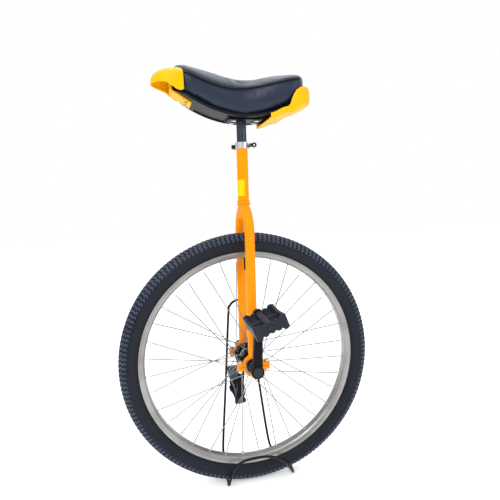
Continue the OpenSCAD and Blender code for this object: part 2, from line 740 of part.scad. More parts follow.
module seat_cushion() {
    pts = [for (k = [0 : slices]) for (j = [0 : ring_steps - 1]) slice_pt(slice_x(k), 360 * j / ring_steps)];
    side = [for (k = [0 : slices - 1]) for (j = [0 : ring_steps - 1]) each let (m = (j + 1) % ring_steps,
        a = k * ring_steps, b = a + ring_steps) [[a + j, b + j, b + m], [a + j, b + m, a + m]]];
    color([0.05, 0.06, 0.09]) polyhedron(points = pts, faces = concat(side,
        [[for (j = [0 : ring_steps - 1]) j]],
        [[for (j = [ring_steps - 1 : -1 : 0]) slices * ring_steps + j]]));
}

// cord sewn along the upper edge of the padding, from behind the handle to the bumper
module seat_piping() {
    steps = 40;
    a = front_x + 24.8;
    b = back_x - 30;
    color([0.02, 0.02, 0.03]) for (s = [left, right])
        sweep([for (k = [0 : steps]) let (x = a + (b - a) * k / steps) [x, s * (half_w(x) + 1.9), pad_edge(x)]],
            1.5, [0, 0, 1], 12);
}

// outline of the padding seen from above, grown sideways by grow; push moves its rear end back
module plan(grow, a, b, steps, push) {
    xs = [for (k = [0 : steps]) a + (b - a) * (1 - cos(180 * k / steps)) / 2];
    function px(x) = x + push * pow((x - a) / (b - a), 2);
    polygon(concat([for (x = xs) [px(x), half_w(x) + grow]],
        [for (k = [steps : -1 : 0]) [px(xs[k]), -half_w(xs[k]) - grow]]));
}

module pan_side(a, b, up, down, steps) {
    xs = [for (k = [0 : steps]) a + (b - a) * k / steps];
    rotate([90, 0, 0]) linear_extrude(height = 2 * saddle_w, center = true)
        polygon(concat([for (x = xs) [x, pad_bottom(x) - up]],
            [for (k = [steps : -1 : 0]) [xs[k], pad_bottom(xs[k]) - down]]));
}

module seat_base() {
    color([0.04, 0.04, 0.04]) difference() {
        intersection() {
            pan_side(front_x + 2, back_x - 2, skin_gap, pan_t, 20);
            translate([0, 0, pan_low - 10]) linear_extrude(height = 200)
                plan(-3, front_x + 2, back_x - 2, 24, 0);
        }
        // hollow under the deck, between the solid ends, with a block left over the plate
        difference() {
            intersection() {
                pan_side(front_x + 50, back_x - 62, deck_t, 30, 12);
                translate([0, 0, pan_low - 20]) linear_extrude(height = 200)
                    plan(-9, front_x + 50, back_x - 62, 16, 0);
            }
            translate([plate_x - bolt_dx - 14, -bolt_dy - 12, post_top + plate_t])
                cube([2 * bolt_dx + 28, 2 * bolt_dy + 24, 20]);
        }
        for (x = [-1, 1]) for (y = [-1, 1]) translate([plate_x + x * bolt_dx, y * bolt_dy, 0]) {
            translate([0, 0, post_top]) cylinder(h = 40, r = 4.6 + seat_gap);
            translate([0, 0, nut_top - 1.6]) cylinder(h = 40, r = 7 + seat_gap);
        }
        for (y = [-1, 1]) {
            translate([front_x + 28, y * 12, pan_low]) cylinder(h = 80, r = 2.05);
            translate([back_x - 40, y * 30, pan_low]) cylinder(h = 80, r = 2.05);
        }
    }
}

// low-headed screws through the plate
module seat_bolts() {
    color([0.6, 0.6, 0.62]) for (x = [-1, 1]) for (y = [-1, 1])
        translate([plate_x + x * bolt_dx, y * bolt_dy, post_top]) {
            translate([0, 0, -2.2]) cylinder(h = 2.2, r = 6);
            translate([0, 0, -1]) cylinder(h = plate_t + 5, r = 3);
        }
}

// flanged nuts sunk into the pan's deck
module seat_nuts() {
    color([0.8, 0.8, 0.82]) for (x = [-1, 1]) for (y = [-1, 1])
        translate([plate_x + x * bolt_dx, y * bolt_dy, 0]) difference() {
            union() {
                translate([0, 0, post_top + plate_t + 0.1]) cylinder(h = nut_top - post_top - plate_t - 1,
                    r = 4.6);
                translate([0, 0, nut_top - 1.55]) cylinder(h = 1.5, r = 7);
            }
            translate([0, 0, post_top]) cylinder(h = 20, r = 3 + seat_gap);
        }
}

// front handle: a domed hood over the finger space, open below, whose sides wrap the padding
function handle_z() = pad_edge(front_x) + 11;
handle_r = half_w(front_x + 23) + 5.5;

module handle_side() {
    e = front_x;
    z = handle_z();
    polygon([[e + 23, z - 56], [e + 15, z - 58], [e + 3, z - 50], [e - 7, z - 42], [e - 21, z - 38],
        [e - 32, z - 41], [e - 39, z - 46], [e - 39, z - 31], [e - 36, z - 19], [e - 28, z - 10],
        [e - 15, z - 3], [e - 2, z], [e + 9, z - 1], [e + 19, z - 10], [e + 23, z - 23]]);
}

module handle_space(t) {
    e = front_x;
    z = handle_z();
    polygon([[e + 14, z - t], [e - 1, z - t], [e - 15, z - 3 - t], [e - 28 + t / 2, z - 10 - t],
        [e - 36 + t, z - 19 - t * 0.6], [e - 39 + t, z - 31], [e - 39 + t, z - 90], [e + 14, z - 90]]);
}

// the hood seen from the front
module handle_front(t) {
    z = handle_z() - t;
    r = handle_r - t;
    polygon([[-r, z - 100], [-r, z - 37], [-r * 0.93, z - 22], [-r * 0.8, z - 12], [-r * 0.6, z - 6],
        [-r * 0.3, z - 1.6], [0, z], [r * 0.3, z - 1.6], [r * 0.6, z - 6], [r * 0.8, z - 12],
        [r * 0.93, z - 22], [r, z - 37], [r, z - 100]]);
}

module handle_block(t) {
    intersection() {
        rotate([90, 0, 0]) linear_extrude(height = 200, center = true) children();
        translate([front_x + 14, 0, pan_low - 20]) cylinder(h = 220, r = handle_r - t, $fn = 72);
        translate([front_x - 60, 0, 0]) rotate([90, 0, 90]) linear_extrude(height = 120) handle_front(t);
    }
}

module front_handle() {
    e = front_x;
    color([1, 0.78, 0]) difference() {
        union() {
            difference() {
                handle_block(0) handle_side();
                translate([0, 0, pan_low - 50]) linear_extrude(height = 300)
                    plan(0.9, e - 0.5, e + 60, 40, 0);
                difference() {
                    handle_block(4.2) handle_space(4.2);
                    translate([0, 0, pan_low - 50]) linear_extrude(height = 300)
                        plan(4.6, e - 4.6, e + 60, 40, 0);
                }
            }
            translate([e - 4.6, -17, pad_bottom(e) - pan_t - 4]) cube([4, 34, 30]);
            intersection() {
                pan_side(e - 4.6, e + 42, pan_t + 0.05, pan_t + 4, 8);
                translate([e - 4.6, -17, pan_low - 20]) cube([46, 34, 200]);
            }
        }
        for (y = [-1, 1]) translate([e + 28, y * 12, pan_low - 30]) cylinder(h = 100, r = 2.05);
    }
}

// rear bumper: a cup round the padding's back that ends in a low wing on each side
module rear_bumper() {
    e = back_x;
    z = pad_bottom(e);
    color([1, 0.78, 0]) difference() {
        union() {
            intersection() {
                translate([0, 0, pan_low - 20]) linear_extrude(height = 200) difference() {
                    plan(5.2, e - 50, e, 20, 12);
                    plan(0.9, e - 60, e, 20, 0.6);
                }
                rotate([90, 0, 0]) linear_extrude(height = 300, center = true)
                    polygon([[e - 50, z - 42], [e - 48, z - 22], [e - 43, z - 5], [e - 32, z + 9],
                        [e - 16, z + 16], [e + 2, z + 17], [e + 9, z + 13], [e + 13, z - 5], [e + 12, z - 20],
                        [e + 4, z - 23]]);
            }
            intersection() {
                pan_side(e - 92, e + 2, pan_t + 0.05, pan_t + 4, 12);
                translate([0, 0, pan_low - 20]) linear_extrude(height = 200) plan(4, e - 92, e, 20, 4);
            }
            intersection() {
                pan_side(e - 92, e + 2, 0.5, pan_t + 9, 12);
                translate([0, 0, pan_low - 20]) linear_extrude(height = 200) difference() {
                    plan(4, e - 92, e, 20, 4);
                    plan(0.9, e - 94, e, 20, 0.6);
                }
            }
        }
        for (y = [-1, 1]) translate([e - 40, y * 30, pan_low - 30]) cylinder(h = 100, r = 2.05);
    }
}

module trim_screws() {
    color([0.6, 0.6, 0.62]) {
        for (y = [-1, 1]) translate([front_x + 28, y * 12, pad_bottom(front_x + 28) - pan_t - 8.8]) {
            cylinder(h = 10, r = 2);
            cylinder(h = 2, r = 4);
        }
        for (y = [-1, 1]) translate([back_x - 40, y * 30, pad_bottom(back_x - 40) - pan_t - 7.6]) {
            cylinder(h = 10, r = 2);
            cylinder(h = 2, r = 4);
        }
    }
}

/* parking stand: one rod bent into a low bow on the left and a tall one on the right */

function stand_path() = [[foot_front, 6, rod_r], [foot_front, -14, rod_r], [foot_front, -24, rod_r + 2],
    [foot_front + 14, -35, bow_h * 0.66], [foot_front + 30, -40, bow_h * 0.87], [foot_front + 52, -42,
    bow_h - rod_r - 1], [foot_front + 84, -42, bow_h - rod_r], [foot_front + 110, -39, bow_h * 0.86],
    [foot_front + 128, -34, bow_h * 0.68], [foot_back - 9, -24, bow_h * 0.36], [foot_back, -14, rod_r + 2],
    [foot_back, 0, rod_r], [foot_back - 4, 20, rod_r], [foot_back - 10, 42, rod_r],
    [foot_back - 15, tall_y - 8, rod_r + 5], [foot_back - 22, tall_y, 20], [foot_back - 38, tall_y, 44],
    [40, tall_y, tall_bow_h / 2], [22, tall_y, tall_bow_h * 0.8], [12, tall_y, tall_bow_h - rod_r - 7],
    [-2, tall_y, tall_bow_h - rod_r], [-18, tall_y, tall_bow_h - rod_r - 3],
    [-28, tall_y, tall_bow_h - rod_r - 13], [-33, tall_y, tall_bow_h - rod_r - 34],
    [-46, tall_y, tall_bow_h * 0.5],
    [foot_front + 3, tall_y, 58], [foot_front + 3, tall_y - 2, 24], [foot_front + 1, tall_y - 12, rod_r + 2],
    [foot_front, tall_y - 26, rod_r], [foot_front, 24, rod_r], [foot_front, 7, rod_r]];

module parking_stand() {
    color([0.05, 0.05, 0.05])
        sweep([for (q = smooth(stand_path(), 5)) [q[0], q[1], max(q[2], rod_r)]], rod_r, [0, 0, 1], 16);
}

tyre();
inner_tube();
rim_tape();
rim();
spokes();
nipples();
valve();
hub_shell();
hub_flanges();
axle();
bearing_inner(left);  // bearing_inner_left
bearing_inner(right);  // bearing_inner_right
bearing_outer(left);  // bearing_outer_left
bearing_outer(right);  // bearing_outer_right
bearing_balls();
bearing_shields();
crank(left);  // crank_left
crank(right);  // crank_right
crank_bolts();
crank_caps();
pedal_spindle(left);  // pedal_spindle_left
pedal_spindle(right);  // pedal_spindle_right
pedal_body(left);  // pedal_body_left
pedal_body(right);  // pedal_body_right
pedal_bushes(left);  // pedal_bushes_left
pedal_bushes(right);  // pedal_bushes_right
pedal_cap(left);  // pedal_cap_left
pedal_cap(right);  // pedal_cap_right
seat_tube();
crown_ring();
fork_leg(left);  // fork_leg_left
fork_leg(right);  // fork_leg_right
bearing_cap(left);  // bearing_cap_left
bearing_cap(right);  // bearing_cap_right
cap_bolts();
cap_nuts();
frame_label();
seat_clamp();
clamp_skewer();
clamp_lever();
lever_eye();
clamp_nut();
seat_post();
post_plug();
seat_plate();
seat_base();
seat_cushion();
seat_piping();
front_handle();
rear_bumper();
seat_bolts();
seat_nuts();
trim_screws();
parking_stand();
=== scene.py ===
import bpy, bmesh, math
from mathutils import Matrix, Vector, bvhtree, noise


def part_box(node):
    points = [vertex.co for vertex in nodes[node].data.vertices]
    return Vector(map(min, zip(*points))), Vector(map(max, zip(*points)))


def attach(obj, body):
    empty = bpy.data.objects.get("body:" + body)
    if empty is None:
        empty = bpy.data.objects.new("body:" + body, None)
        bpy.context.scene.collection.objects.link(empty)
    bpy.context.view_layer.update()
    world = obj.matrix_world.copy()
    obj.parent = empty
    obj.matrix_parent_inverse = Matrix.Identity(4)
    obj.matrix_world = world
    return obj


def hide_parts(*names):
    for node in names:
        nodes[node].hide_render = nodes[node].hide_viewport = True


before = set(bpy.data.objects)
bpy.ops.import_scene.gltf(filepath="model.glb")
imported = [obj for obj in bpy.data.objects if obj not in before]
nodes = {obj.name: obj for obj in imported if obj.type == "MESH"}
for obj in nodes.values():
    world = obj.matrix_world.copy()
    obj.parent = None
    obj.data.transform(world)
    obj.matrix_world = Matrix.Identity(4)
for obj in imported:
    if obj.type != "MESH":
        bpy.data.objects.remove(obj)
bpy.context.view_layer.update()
mm = 0.001


def linear(code):  # sRGB hex to linear colour
    out = []
    for k in (1, 3, 5):
        c = int(code[k:k + 2], 16) / 255
        out.append(c / 12.92 if c <= 0.04045 else ((c + 0.055) / 1.055) ** 2.4)
    return (*out, 1.0)


def add(tree, kind, settings=None, **links):  # one node, its settings and its inputs
    node = tree.nodes.new(kind)
    for key, value in (settings or {}).items():
        setattr(node, key, value)
    for key, value in links.items():
        key = int(key[1:]) if key[0] == "_" and key[1:].isdigit() else key.replace("_", " ")
        socket = node.inputs[key]
        if isinstance(value, bpy.types.NodeSocket):
            tree.links.new(value, socket)
        else:
            socket.default_value = value
    return node


def corners(name):  # box of a CAD node, in millimetres
    lo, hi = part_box(name)
    return lo / mm, hi / mm


def makePiece(name, points, faces, finish, sharp=40, scale=mm):
    mesh = bpy.data.meshes.new(name)
    mesh.from_pydata([[c * scale for c in p] for p in points], [], faces)
    mesh.validate()
    bm = bmesh.new()
    bm.from_mesh(mesh)
    bmesh.ops.remove_doubles(bm, verts=bm.verts, dist=1e-6)
    bmesh.ops.recalc_face_normals(bm, faces=bm.faces)
    bm.to_mesh(mesh)
    bm.free()
    piece = bpy.data.objects.new(name, mesh)
    bpy.context.scene.collection.objects.link(piece)
    smoothShade(mesh, sharp)
    if finish:
        mesh.materials.append(finish)
    return piece


def smoothShade(mesh, sharp):
    mesh.polygons.foreach_set("use_smooth", [True] * len(mesh.polygons))
    mesh.set_sharp_from_angle(angle=math.radians(sharp))


def gridFaces(rows, cols, wrapRows=False, wrapCols=False):  # quads over a grid of points
    faces = []
    for a in range(rows if wrapRows else rows - 1):
        for b in range(cols if wrapCols else cols - 1):
            p, q = (a + 1) % rows, (b + 1) % cols
            faces.append((a * cols + b, p * cols + b, p * cols + q, a * cols + q))
    return faces


def spun(profile, steps, hub):  # closed (radius, offset) outline turned round the axle
    points = []
    for k in range(steps):
        a = 2 * math.pi * k / steps
        points += [(r * math.cos(a), y, hub + r * math.sin(a)) for r, y in profile]
    return points, gridFaces(steps, len(profile), True, True)


def tubeEnds(rows, cols):  # one flat face at each end of a grid that is closed round its columns
    return [tuple(range(cols)), tuple((rows - 1) * cols + j for j in range(cols))]


def swept(path, radius, sides):  # round bar along a path
    pts = [Vector(p) for p in path]
    n = len(pts)
    tangents = [(pts[min(k + 1, n - 1)] - pts[max(k - 1, 0)]).normalized() for k in range(n)]
    side = tangents[0].orthogonal().normalized()
    points = []
    for k in range(n):
        side = (side - tangents[k] * side.dot(tangents[k])).normalized()
        up = tangents[k].cross(side)
        points += [pts[k] + radius * (math.cos(2 * math.pi * j / sides) * side
                                      + math.sin(2 * math.pi * j / sides) * up) for j in range(sides)]
    return points, gridFaces(n, sides, False, True) + tubeEnds(n, sides)


def smoothPath(points, m):  # a curve through the points, with m steps between two of them
    n = len(points)
    out = []
    for i in range(n - 1):
        a, b, c, d = (Vector(points[min(max(i + k, 0), n - 1)]) for k in (-1, 0, 1, 2))
        for j in range(m):
            u = j / m
            out.append((2 * b + (c - a) * u + (2 * a - 5 * b + 4 * c - d) * u * u
                        + (3 * b - a - 3 * c + d) * u ** 3) / 2)
    return out + [Vector(points[-1])]


def modifier(piece, kind, **settings):
    m = piece.modifiers.new(kind.title(), kind)
    for key, value in settings.items():
        setattr(m, key, value)
    return m


def bake(piece):  # modifiers into a plain mesh
    dg = bpy.context.evaluated_depsgraph_get()
    mesh = bpy.data.meshes.new_from_object(piece.evaluated_get(dg))
    piece.modifiers.clear()
    piece.data = mesh
    return piece


def joined(name, parts, finish, sharp=40):  # several pieces into one
    bm = bmesh.new()
    for part in parts:
        bm.from_mesh(part.data)
        bpy.data.objects.remove(part)
    mesh = bpy.data.meshes.new(name)
    bm.to_mesh(mesh)
    bm.free()
    mesh.materials.append(finish)
    smoothShade(mesh, sharp)
    piece = bpy.data.objects.new(name, mesh)
    bpy.context.scene.collection.objects.link(piece)
    return piece


def blank(name):
    mat = bpy.data.materials.new(name)
    mat.use_nodes = True
    tree = mat.node_tree
    tree.nodes.clear()
    place = add(tree, "ShaderNodeTexCoord").outputs["Object"]
    return mat, tree, place


def close(tree, bsdf):
    add(tree, "ShaderNodeOutputMaterial", Surface=bsdf.outputs["BSDF"])


def ramp(tree, fac, stops):
    node = add(tree, "ShaderNodeValToRGB", Fac=fac)
    while len(node.color_ramp.elements) < len(stops):
        node.color_ramp.elements.new(0.5)
    for e, (pos, col) in zip(node.color_ramp.elements, stops):
        e.position, e.color = pos, linear(col)
    return node.outputs["Color"]


# powder-coated steel: a smooth glossy skin with a faint orange-peel ripple about 2 mm across
def powderCoat(name, tones, rough=0.3, edge=1.2, peel=0.05, spec=0.1, coat=0.04):
    mat, tree, place = blank(name)
    cloud = add(tree, "ShaderNodeTexNoise", Vector=place, Scale=14, Detail=3)
    colour = ramp(tree, cloud.outputs["Fac"], [(0.35, tones[0]), (0.65, tones[1])])
    wear = add(tree, "ShaderNodeTexNoise", Vector=place, Scale=60, Detail=5)
    gloss = add(tree, "ShaderNodeMapRange", Value=wear.outputs["Fac"], To_Min=rough - 0.06, To_Max=rough + 0.08)
    ripple = add(tree, "ShaderNodeTexNoise", Vector=place, Scale=480, Detail=1)
    soft = add(tree, "ShaderNodeBevel", {"samples": 4}, Radius=edge * mm)
    bump = add(tree, "ShaderNodeBump", Strength=peel, Distance=0.0004, Height=ripple.outputs["Fac"],
               Normal=soft.outputs["Normal"])
    close(tree, add(tree, "ShaderNodeBsdfPrincipled", Base_Color=colour, Roughness=gloss.outputs["Result"],
                    IOR=1.5, Specular_IOR_Level=spec, Normal=bump.outputs["Normal"], Coat_Weight=coat,
                    Coat_Roughness=0.12))
    return mat


# moulded plastic: even colour, fine spark-eroded grain of about 0.4 mm, drawn at 0.8 mm
def mouldedPlastic(name, tones, rough, grain, ior=1.49, coat=0.0, edge=0.8, spec=0.12):
    mat, tree, place = blank(name)
    cloud = add(tree, "ShaderNodeTexNoise", Vector=place, Scale=22, Detail=2)
    colour = ramp(tree, cloud.outputs["Fac"], [(0.3, tones[0]), (0.7, tones[1])])
    pits = add(tree, "ShaderNodeTexNoise", Vector=place, Scale=1250, Detail=2)
    marks = add(tree, "ShaderNodeTexNoise", Vector=place, Scale=45, Detail=6, Roughness=0.7)
    gloss = add(tree, "ShaderNodeMapRange", Value=marks.outputs["Fac"], To_Min=rough - 0.08, To_Max=rough + 0.1)
    soft = add(tree, "ShaderNodeBevel", {"samples": 4}, Radius=edge * mm)
    bump = add(tree, "ShaderNodeBump", Strength=grain, Distance=0.0003, Height=pits.outputs["Fac"],
               Normal=soft.outputs["Normal"])
    close(tree, add(tree, "ShaderNodeBsdfPrincipled", Base_Color=colour, Roughness=gloss.outputs["Result"],
                    IOR=ior, Specular_IOR_Level=spec, Normal=bump.outputs["Normal"], Coat_Weight=coat,
                    Coat_Roughness=0.1))
    return mat


# bare metal: brushed, drawn or ground, with its lines along one direction
def bareMetal(name, tones, rough, stretch, lines=0.15, scale=900, edge=0.5, metallic=1.0):
    mat, tree, place = blank(name)
    run = add(tree, "ShaderNodeMapping", Vector=place, Scale=stretch)
    scratch = add(tree, "ShaderNodeTexNoise", Vector=run.outputs["Vector"], Scale=scale, Detail=3)
    stain = add(tree, "ShaderNodeTexNoise", Vector=place, Scale=35, Detail=4)
    colour = ramp(tree, stain.outputs["Fac"], [(0.3, tones[0]), (0.7, tones[1])])
    gloss = add(tree, "ShaderNodeMapRange", Value=scratch.outputs["Fac"], To_Min=rough - 0.08, To_Max=rough + 0.12)
    soft = add(tree, "ShaderNodeBevel", {"samples": 4}, Radius=edge * mm)
    bump = add(tree, "ShaderNodeBump", Strength=lines, Distance=0.0002, Height=scratch.outputs["Fac"],
               Normal=soft.outputs["Normal"])
    close(tree, add(tree, "ShaderNodeBsdfPrincipled", Base_Color=colour, Roughness=gloss.outputs["Result"],
                    Metallic=metallic, Normal=bump.outputs["Normal"]))
    return mat


# brushed aluminium rim: the brush runs round the wheel, so its lines follow the angle about the axle
def brushedRim(name, hub):
    mat, tree, place = blank(name)
    centred = add(tree, "ShaderNodeMapping", Vector=place, Location=(0, 0, -hub * mm))
    axis = add(tree, "ShaderNodeSeparateXYZ", Vector=centred.outputs["Vector"])
    turn = add(tree, "ShaderNodeMath", {"operation": "ARCTAN2"}, _0=axis.outputs["Z"], _1=axis.outputs["X"])
    square = add(tree, "ShaderNodeCombineXYZ", X=axis.outputs["X"], Y=axis.outputs["Z"])
    radius = add(tree, "ShaderNodeVectorMath", {"operation": "LENGTH"}, _0=square.outputs["Vector"])
    polar = add(tree, "ShaderNodeCombineXYZ", X=turn.outputs["Value"], Y=radius.outputs["Value"], Z=axis.outputs["Y"])
    run = add(tree, "ShaderNodeMapping", Vector=polar.outputs["Vector"], Scale=(3, 1400, 1400))
    lines = add(tree, "ShaderNodeTexNoise", Vector=run.outputs["Vector"], Scale=1, Detail=3)
    stain = add(tree, "ShaderNodeTexNoise", Vector=place, Scale=18, Detail=4)
    colour = ramp(tree, stain.outputs["Fac"], [(0.3, "#8A8885"), (0.7, "#A3A2A0")])
    gloss = add(tree, "ShaderNodeMapRange", Value=lines.outputs["Fac"], To_Min=0.27, To_Max=0.48)
    soft = add(tree, "ShaderNodeBevel", {"samples": 4}, Radius=0.0005)
    bump = add(tree, "ShaderNodeBump", Strength=0.2, Distance=0.0002, Height=lines.outputs["Fac"],
               Normal=soft.outputs["Normal"])
    close(tree, add(tree, "ShaderNodeBsdfPrincipled", Base_Color=colour, Roughness=gloss.outputs["Result"],
                    Metallic=1.0, Normal=bump.outputs["Normal"]))
    return mat


# tyre: a casing with moulded side lines and six rows of slanted blocks on each side of the crown
# the scuffed band: radii about the section centre where the block tops get a paler painted-light tone
tyre = {"sectionRadius": 23.4, "middle": 276.5, "treadBase": 21.9, "treadAngle": 76, "steps": 240, "blocks": 168,
        "blockDepth": 3.4, "blockSeat": 21.8,
        "rows": [(7, 8.36, 4.6, 38), (21, 8.36, 4.6, -38), (35, 8.17, 4.5, 38), (48.5, 7.98, 4.3, -38),
                 (61, 7.6, 4.0, 38), (72, 6.46, 3.2, -30)],  # angle, length, width, slant
        "lines": [(83, 0.7), (90, 0.6), (126, 0.6), (134, 0.7)],  # angle, height
        "foot": [(256.9, 13.2), (256.6, 12.2), (251.5, 12.1), (251.4, 9.0), (257, 9.6)],
        "insideRadius": 19.6, "litTopBand": (22.3, 22.9), "shoulder": (5, 5.6)}


# moulded tyre rubber: carbon black with a slight blue bloom, and block tops painted a paler grey as painted light,
# with the grooves and sides left dark
def tyreRubber(name, hub):
    mat, tree, place = blank(name)
    bloom = add(tree, "ShaderNodeTexNoise", Vector=place, Scale=30, Detail=5)
    rubberTone = ramp(tree, bloom.outputs["Fac"], [(0.3, "#0A0F19"), (0.7, "#111825")])
    # paler grey painted on the block tops as painted light, standing in for the light that falls on them
    paintedTopLight = ramp(tree, bloom.outputs["Fac"], [(0.3, "#303848"), (0.7, "#434C5E")])
    spot = add(tree, "ShaderNodeSeparateXYZ", Vector=place)
    lift = add(tree, "ShaderNodeMath", {"operation": "SUBTRACT"}, _0=spot.outputs["Z"], _1=hub * mm)
    plane = add(tree, "ShaderNodeCombineXYZ", X=spot.outputs["X"], Y=lift.outputs["Value"])
    reach = add(tree, "ShaderNodeVectorMath", {"operation": "LENGTH"}, _0=plane.outputs["Vector"])
    outward = add(tree, "ShaderNodeMath", {"operation": "SUBTRACT"}, _0=reach.outputs["Value"], _1=tyre["middle"] * mm)
    cut = add(tree, "ShaderNodeCombineXYZ", X=outward.outputs["Value"], Y=spot.outputs["Y"])
    radius = add(tree, "ShaderNodeVectorMath", {"operation": "LENGTH"}, _0=cut.outputs["Vector"])
    # mask of the outermost 0.6 mm of each block, where the painted light goes; grooves keep the dark rubber
    proud = add(tree, "ShaderNodeMapRange", Value=radius.outputs["Value"], From_Min=tyre["litTopBand"][0] * mm,
                From_Max=tyre["litTopBand"][1] * mm)
    treaded = add(tree, "ShaderNodeMapRange", Value=outward.outputs["Value"], From_Min=tyre["shoulder"][0] * mm,
                  From_Max=tyre["shoulder"][1] * mm)
    top = add(tree, "ShaderNodeMath", {"operation": "MULTIPLY"}, _0=proud.outputs["Result"],
              _1=treaded.outputs["Result"])
    colour = add(tree, "ShaderNodeMix", {"data_type": "RGBA"}, _0=top.outputs["Value"], _6=rubberTone, _7=paintedTopLight).outputs[2]
    grit = add(tree, "ShaderNodeTexNoise", Vector=place, Scale=900, Detail=4)
    gloss = add(tree, "ShaderNodeMapRange", Value=bloom.outputs["Fac"], To_Min=0.42, To_Max=0.6)
    bump = add(tree, "ShaderNodeBump", Strength=0.25, Distance=0.0003, Height=grit.outputs["Fac"])
    close(tree, add(tree, "ShaderNodeBsdfPrincipled", Base_Color=colour, Roughness=gloss.outputs["Result"],
                    IOR=1.42, Normal=bump.outputs["Normal"], Specular_IOR_Level=0.32))
    return mat


# calendered vinyl over foam: a pebbled leather grain of about 1.5 mm under a satin lacquer, paler seen edge on
def glossVinyl(name):
    mat, tree, place = blank(name)
    tone = add(tree, "ShaderNodeTexNoise", Vector=place, Scale=12, Detail=3)
    colour = ramp(tree, tone.outputs["Fac"], [(0.3, "#111C30"), (0.7, "#19263C")])
    pebbles = add(tree, "ShaderNodeTexVoronoi", {"feature": "SMOOTH_F1"}, Vector=place, Scale=620, Smoothness=0.5)
    creases = add(tree, "ShaderNodeTexNoise", Vector=place, Scale=300, Detail=4, Distortion=0.6)
    height = add(tree, "ShaderNodeMath", {"operation": "ADD"}, _0=pebbles.outputs["Distance"],
                 _1=creases.outputs["Fac"])
    gloss = add(tree, "ShaderNodeMapRange", Value=tone.outputs["Fac"], To_Min=0.36, To_Max=0.48)
    bump = add(tree, "ShaderNodeBump", Strength=0.22, Distance=0.0004, Height=height.outputs["Value"])
    close(tree, add(tree, "ShaderNodeBsdfPrincipled", Base_Color=colour, Roughness=gloss.outputs["Result"],
                    IOR=1.5, Specular_IOR_Level=0.35, Normal=bump.outputs["Normal"], Coat_Weight=0.1,
                    Coat_Roughness=0.3, Sheen_Weight=0.45, Sheen_Roughness=0.3, Sheen_Tint=(0.78, 0.87, 1, 1)))
    return mat


hubZ = (corners("axle")[0].z + corners("axle")[1].z) / 2
frameOrange = powderCoat("powderCoatOrange", ("#FA8E00", "#FF9800"))
blackPaint = powderCoat("satinBlackPaint", ("#08090B", "#0E0F12"), rough=0.4, peel=0.03, spec=0.1, coat=0.02)
trimYellow = mouldedPlastic("mouldedYellowPlastic", ("#F4AE00", "#F9B800"), 0.36, 0.04, coat=0.05)
blackNylon = mouldedPlastic("grainedBlackNylon", ("#0E1522", "#182132"), 0.44, 0.35, spec=0.3)
blackPanPlastic = mouldedPlastic("mouldedPolypropylene", ("#08090B", "#0E0F12"), 0.45, 0.2, spec=0.2)
glossBlack = mouldedPlastic("glossBlackAbs", ("#0A0C10", "#12151B"), 0.26, 0.02, coat=0.2, spec=0.25)
dippedBlack = mouldedPlastic("dippedBlackVinyl", ("#060708", "#0C0D0F"), 0.38, 0.08, coat=0.04, spec=0.2)
labelVinyl = mouldedPlastic("printedYellowVinyl", ("#D8C600", "#DECC04"), 0.36, 0.02, coat=0.04)
redRubber = mouldedPlastic("redRimTapeRubber", ("#6E1818", "#7C2020"), 0.6, 0.3)
butyl = mouldedPlastic("butylRubber", ("#161616", "#1F1F1F"), 0.55, 0.3)
blackRubber = mouldedPlastic("mouldedBlackRubber", ("#0E0F11", "#17181B"), 0.42, 0.2)
rimMetal = brushedRim("brushedRimAluminium", hubZ)
spokeMetal = bareMetal("drawnSteelWire", ("#7A7D80", "#8C8F92"), 0.4, (1, 1, 1), 0.05)
nippleMetal = bareMetal("nickelPlatedBrass", ("#D6D7D8", "#E6E7E8"), 0.22, (1, 1, 1), 0.03)
hubMetal = bareMetal("polishedAluminium", ("#C6CACF", "#D8DBDF"), 0.16, (20, 1, 20), 0.08)
clampMetal = bareMetal("polishedClampAlloy", ("#DDE0E3", "#ECEEF0"), 0.24, (1, 1, 12), 0.08, edge=0.8)
boltMetal = bareMetal("zincPlatedSteel", ("#B4B8BA", "#C6CACB"), 0.26, (1, 1, 1), 0.05)
axleMetal = bareMetal("groundAxleSteel", ("#8C8F93", "#A0A3A7"), 0.28, (12, 1, 12), 0.1)
bearingMetal = bareMetal("hardenedBearingSteel", ("#6E7175", "#7C7F83"), 0.25, (8, 1, 8), 0.05)
postPaint = bareMetal("blackChromedSteel", ("#37434F", "#445160"), 0.26, (1, 1, 10), 0.05, metallic=0.85)
flangeBlack = powderCoat("blackAnodisedFlange", ("#08090A", "#0E0F11"), rough=0.36, edge=0.6, peel=0.02, spec=0.25,
                         coat=0.05)
tyreMat = tyreRubber("mouldedTyreRubber", hubZ)
vinyl = glossVinyl("calenderedSaddleVinyl")

